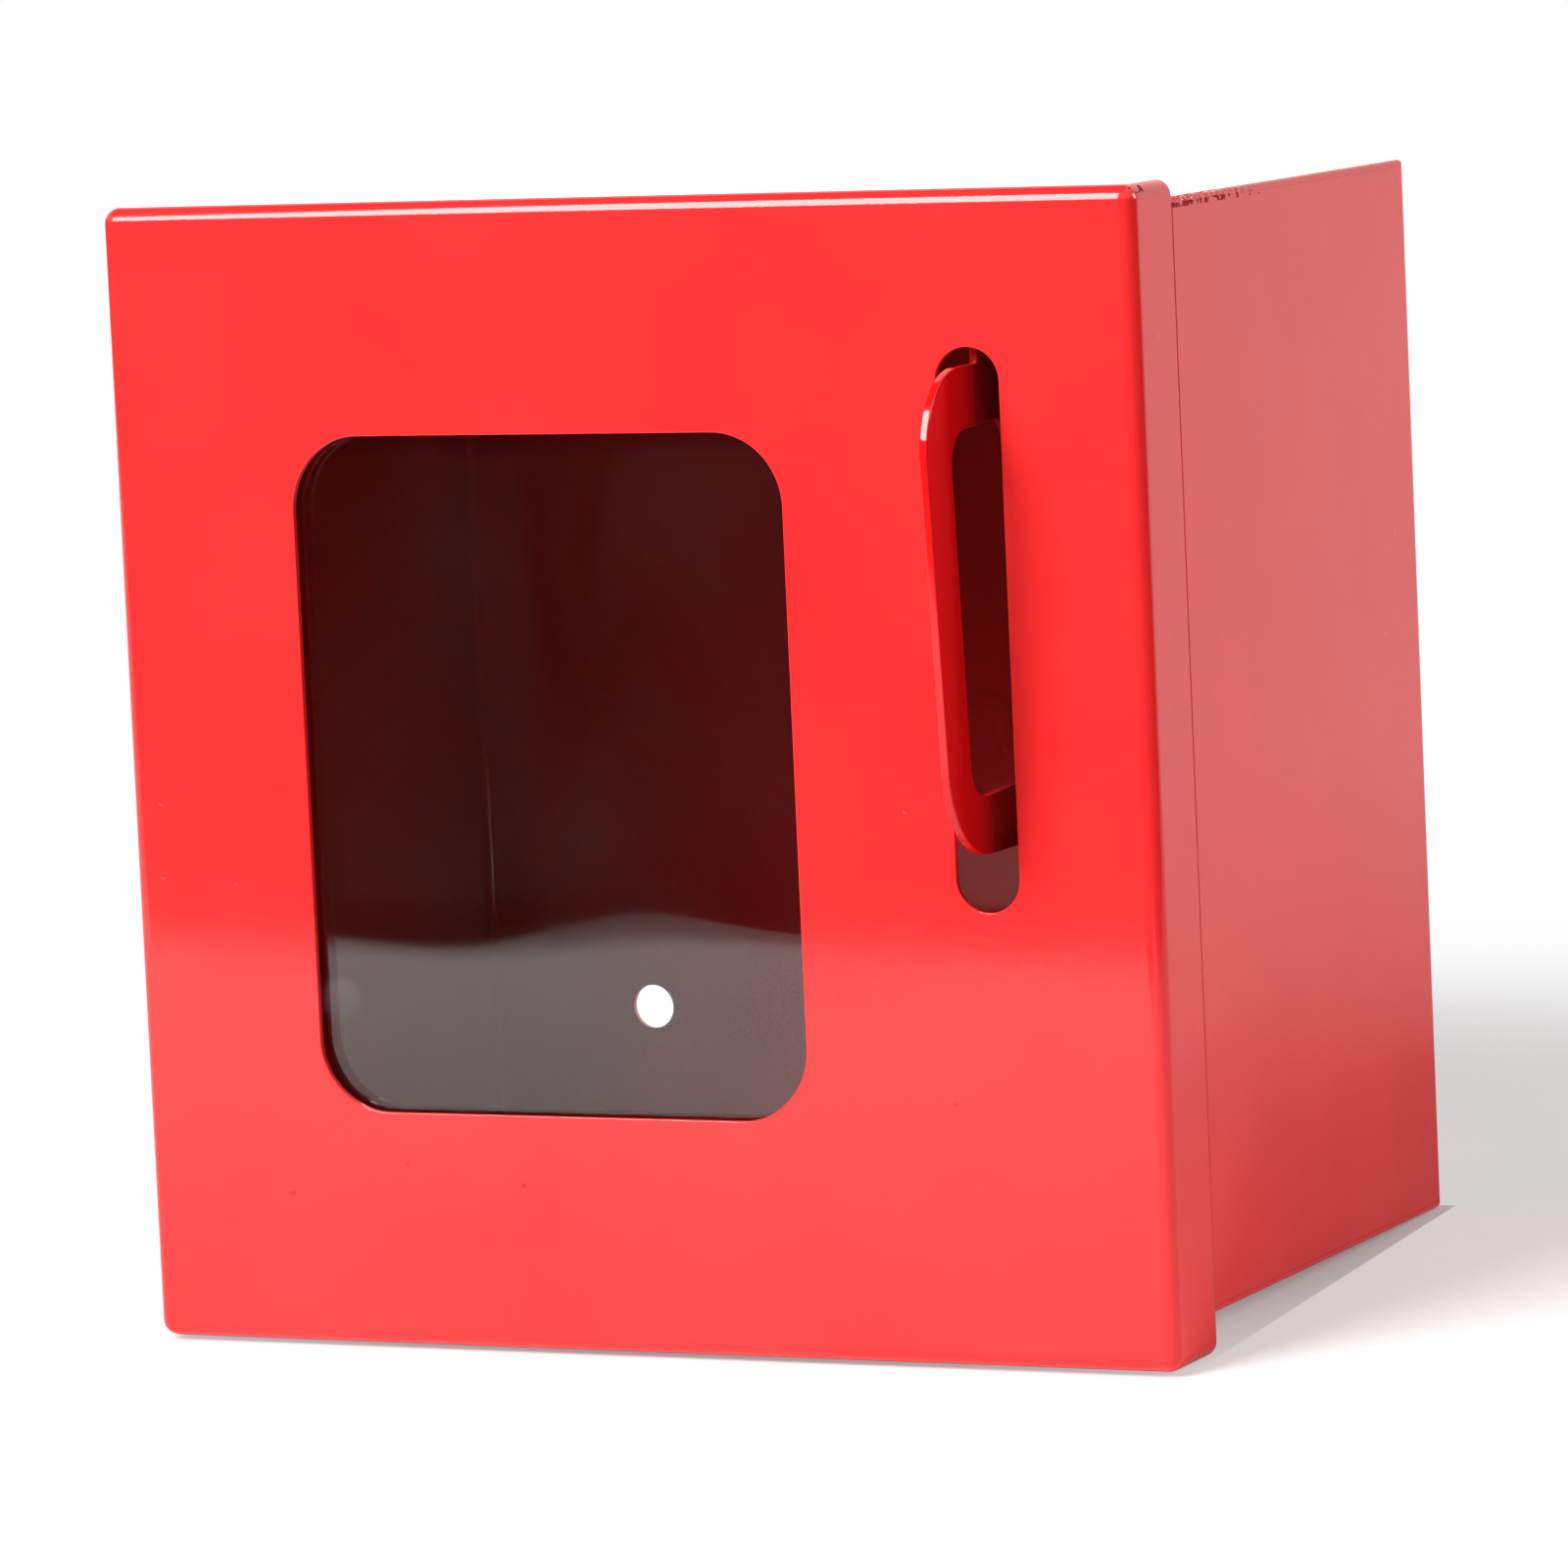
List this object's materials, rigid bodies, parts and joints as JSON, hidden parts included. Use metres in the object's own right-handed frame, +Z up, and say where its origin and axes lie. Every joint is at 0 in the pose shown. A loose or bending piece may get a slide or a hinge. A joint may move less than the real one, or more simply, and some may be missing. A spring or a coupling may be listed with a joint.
{
  "type": "group lockout box",
  "caption": "Small red steel wall box for lockout keys, with a hinged windowed door and a flat loop through the door for padlocks.",
  "frame": {"origin": "centre of the four wall holes, on the outer face of the cabinet's back", "axes": "+Z up, +Y into the wall, so the door faces -Y, and +X to the right of someone facing the door"},
  "size_m": [0.1564, 0.119, 0.1556],
  "materials": {
    "red_enamel": "gloss",
    "red_enamel_door": "gloss",
    "red_enamel_loop": "gloss",
    "clear_acrylic": "clear gloss",
    "black_foam_tape": "matte",
    "bright_steel": "bright",
    "plain_brass": "satin"
  },
  "bodies": {
    "cabinet": {"body_wrap": "red_enamel", "top_plate": "red_enamel", "bottom_plate": "red_enamel", "top_seam_weld": "red_enamel", "bottom_seam_weld": "red_enamel", "hasp_plate": "red_enamel_loop", "hasp_stitch_welds": "red_enamel", "upper_body_barrel": "red_enamel", "lower_body_barrel": "red_enamel", "upper_hinge_pin": "bright_steel", "lower_hinge_pin": "bright_steel", "upper_hinge_washer": "plain_brass", "lower_hinge_washer": "plain_brass", "hinge_body_welds": "red_enamel"},
    "door": {"door_pan": "red_enamel_door", "door_corner_welds": "red_enamel_door", "window_tape": "black_foam_tape", "window_pane": "clear_acrylic", "upper_door_barrel": "red_enamel_door", "lower_door_barrel": "red_enamel_door", "hinge_door_welds": "red_enamel_door"}
  },
  "joints": [
    {"name": "door_hinge", "type": "hinge", "parent": "cabinet", "child": "door", "pos_m": [-0.0774, -0.0875, 0], "axis": [0, 0, -1], "range_deg": [0, 180]}
  ]
}
